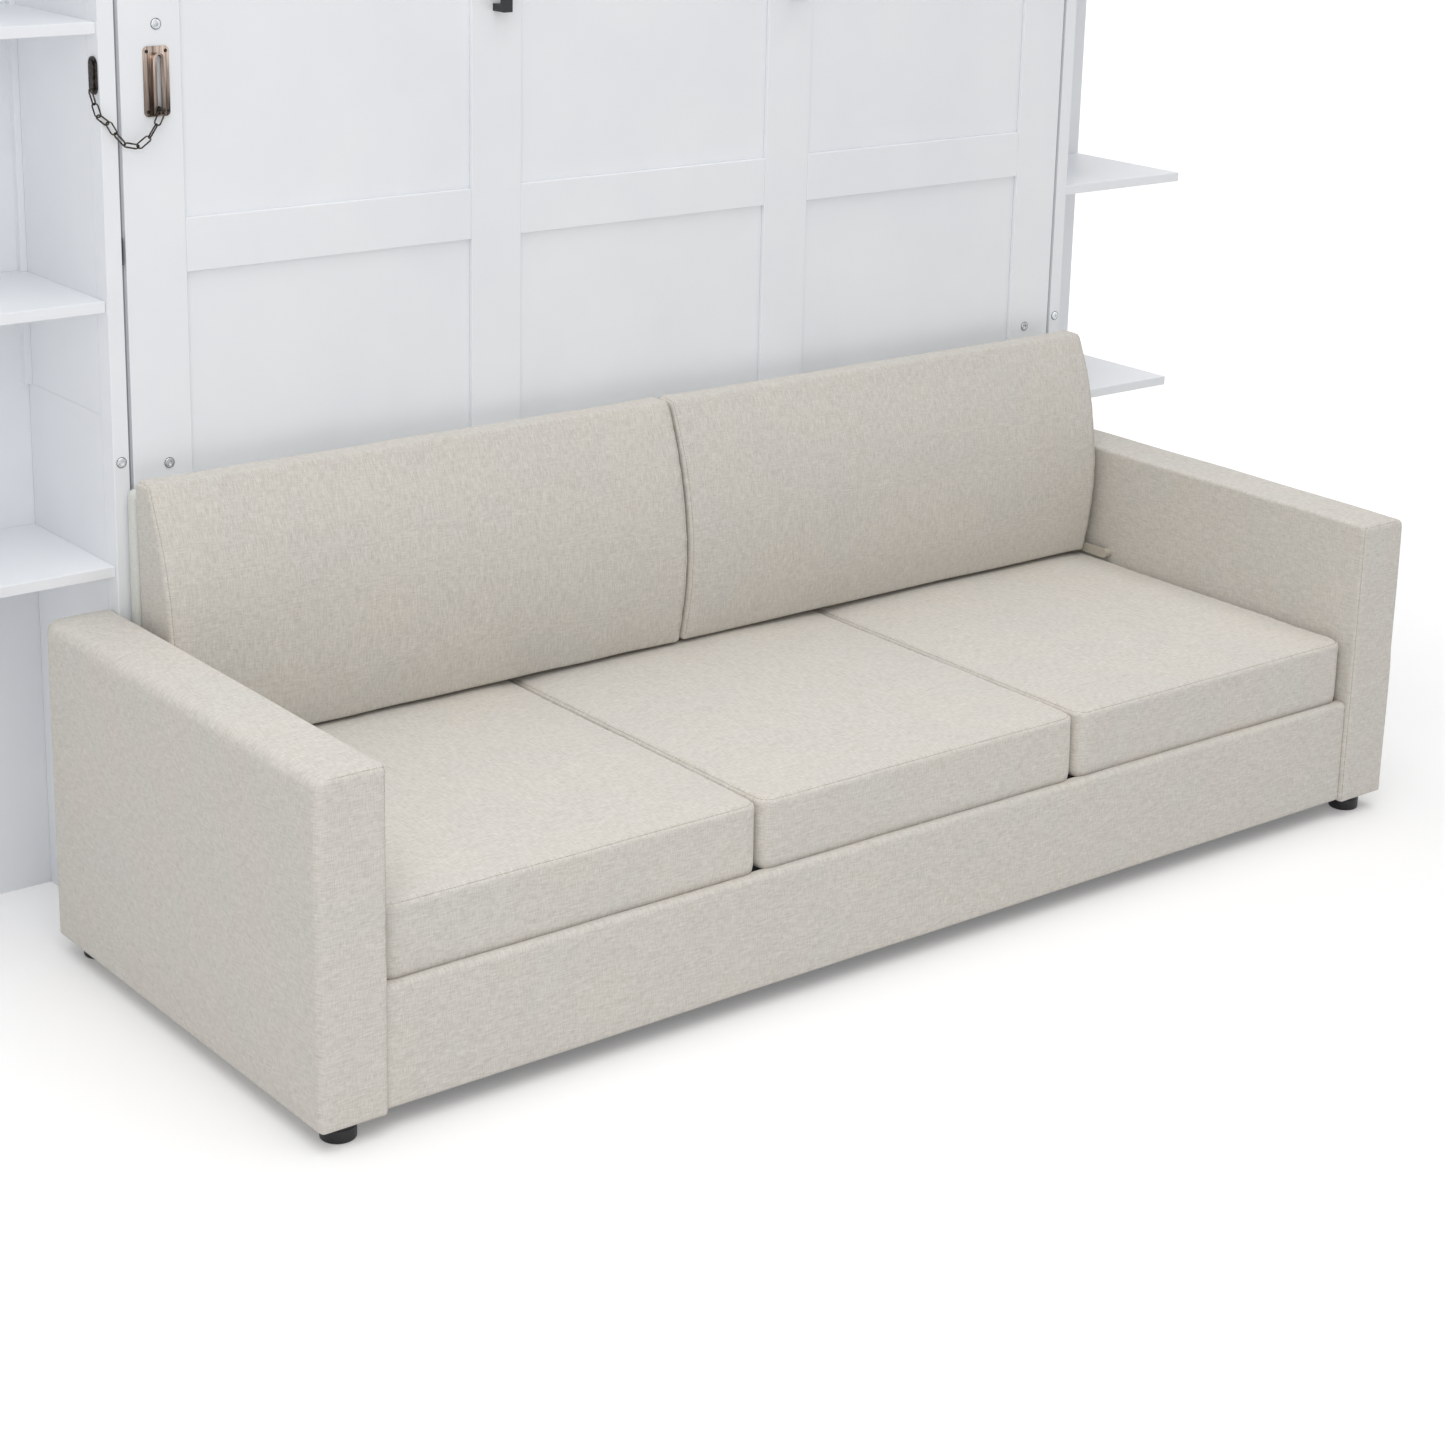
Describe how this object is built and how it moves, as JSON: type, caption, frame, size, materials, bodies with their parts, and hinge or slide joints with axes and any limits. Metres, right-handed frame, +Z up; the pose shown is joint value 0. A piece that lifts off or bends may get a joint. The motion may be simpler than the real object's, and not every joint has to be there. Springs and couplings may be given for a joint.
{
  "type": "wall bed with sofa",
  "caption": "White wall cabinet whose face folds down as a sideways double bed over an oat-coloured sofa with a folding back, with open shelves at both ends.",
  "frame": {"origin": "middle of the footprint at floor level", "axes": "+X to the right seen from the front, +Y to the wall, +Z up; the sofa faces -Y"},
  "size_m": [2.714, 1.128, 1.919],
  "materials": {
    "white_lacquered_board": "white lacquer, satin",
    "plain_board": "white primed board, matt",
    "oat_upholstery": "tight plain weave, oat colour",
    "pale_back_cloth": "pale lining cloth, matt",
    "black_foot_plastic": "black, matt",
    "black_metal": "black powder coat, satin",
    "black_deck_cloth": "black non-woven deck cloth, matt",
    "oat_painted_steel": "oat powder coat, matt",
    "zinc_steel": "zinc plated, satin",
    "dark_bronze": "dark bronze plated, worn",
    "copper_plate": "copper bronze plated, satin",
    "slat_beech": "beech, clear lacquer",
    "mattress_ticking": "white knitted ticking"
  },
  "bodies": {
    "frame": {"cabinet_side_left": "white_lacquered_board", "cabinet_side_right": "white_lacquered_board", "cabinet_top": "white_lacquered_board", "cabinet_back": "plain_board", "base_panel": "white_lacquered_board", "shelf_back_left": "white_lacquered_board", "shelf_back_right": "white_lacquered_board", "shelf_left_1": "white_lacquered_board", "shelf_left_2": "white_lacquered_board", "shelf_left_3": "white_lacquered_board", "shelf_left_4": "white_lacquered_board", "shelf_right_1": "white_lacquered_board", "shelf_right_2": "white_lacquered_board", "shelf_right_3": "white_lacquered_board", "shelf_right_4": "white_lacquered_board", "pivot_bracket_left": "zinc_steel", "pivot_bracket_right": "zinc_steel", "chain_anchor": "dark_bronze", "arm_left": "oat_upholstery", "arm_right": "oat_upholstery", "front_rail": "oat_upholstery", "rear_rail": "oat_upholstery", "seat_deck": "black_deck_cloth", "seat_cushion_left": "oat_upholstery", "seat_cushion_centre": "oat_upholstery", "seat_cushion_right": "oat_upholstery", "foot_front_left": "black_foot_plastic", "foot_front_right": "black_foot_plastic", "foot_rear_left": "black_foot_plastic", "foot_rear_right": "black_foot_plastic"},
    "bed": {"bed_frame": "plain_board", "bed_slats": "slat_beech", "mattress": "mattress_ticking", "face_board": "white_lacquered_board", "face_rail_top": "white_lacquered_board", "face_rail_bottom": "white_lacquered_board", "face_stile_left": "white_lacquered_board", "face_stile_mid_left": "white_lacquered_board", "face_stile_mid_right": "white_lacquered_board", "face_stile_right": "white_lacquered_board", "face_rail_left": "white_lacquered_board", "face_rail_centre": "white_lacquered_board", "face_rail_right": "white_lacquered_board", "handle_left": "black_metal", "handle_right": "black_metal", "leg_bracket_left": "zinc_steel", "leg_bracket_right": "zinc_steel", "chain_track": "copper_plate"},
    "back_rest": {"back_cushion_left": "oat_upholstery", "back_cushion_right": "oat_upholstery", "back_rest_board": "pale_back_cloth", "back_hinge_left": "oat_painted_steel", "back_hinge_right": "oat_painted_steel"},
    "leg_left_body": {"leg_left": "white_lacquered_board"},
    "leg_right_body": {"leg_right": "white_lacquered_board"},
    "strut_cylinder_left_body": {"strut_cylinder_left": "black_metal"},
    "strut_cylinder_right_body": {"strut_cylinder_right": "black_metal"},
    "strut_rod_left_body": {"strut_rod_left": "zinc_steel"},
    "strut_rod_right_body": {"strut_rod_right": "zinc_steel"},
    "chain_slider": {"guard_chain": "dark_bronze"}
  },
  "joints": [
    {"name": "bed_fold", "type": "hinge", "parent": "frame", "child": "bed", "pos_m": [0, 0.319, 0.613], "axis": [1, 0, 0], "range_deg": [0, 90]},
    {"name": "back_rest_fold", "type": "hinge", "parent": "frame", "child": "back_rest", "pos_m": [0, 0.066, 0.36], "axis": [1, 0, 0], "range_deg": [0, 90]},
    {"name": "leg_left_fold", "type": "hinge", "parent": "bed", "child": "leg_left_body", "pos_m": [-0.94, 0.2204, 1.829], "axis": [0, 0, -1], "range_deg": [0, 90]},
    {"name": "leg_right_fold", "type": "hinge", "parent": "bed", "child": "leg_right_body", "pos_m": [0.94, 0.2204, 1.829], "axis": [0, 0, 1], "range_deg": [0, 90]},
    {"name": "chain_slide", "type": "slide", "parent": "bed", "child": "chain_slider", "axis": [0, 0, 1], "range_m": [0, 0.07]},
    {"name": "strut_left_turn", "type": "hinge", "parent": "frame", "child": "strut_cylinder_left_body", "pos_m": [-0.9901, 0.494, 1.093], "axis": [1, 0, 0], "range_deg": [0, 5.57]},
    {"name": "strut_left_slide", "type": "slide", "parent": "strut_cylinder_left_body", "child": "strut_rod_left_body", "axis": [0, -0.2101, -0.9777], "range_m": [-0.181, 0]},
    {"name": "strut_right_turn", "type": "hinge", "parent": "frame", "child": "strut_cylinder_right_body", "pos_m": [0.9901, 0.494, 1.093], "axis": [1, 0, 0], "range_deg": [0, 5.57]},
    {"name": "strut_right_slide", "type": "slide", "parent": "strut_cylinder_right_body", "child": "strut_rod_right_body", "axis": [0, -0.2101, -0.9777], "range_m": [-0.181, 0]}
  ],
  "couplings": [
    {"joint": "back_rest_fold", "follows": "bed_fold", "ratio": 1},
    {"joint": "strut_left_turn", "follows": "bed_fold", "ratio": 0.061891},
    {"joint": "strut_left_slide", "follows": "bed_fold", "m_per_rad": -0.11519},
    {"joint": "strut_right_turn", "follows": "bed_fold", "ratio": 0.061891},
    {"joint": "strut_right_slide", "follows": "bed_fold", "m_per_rad": -0.11519}
  ]
}
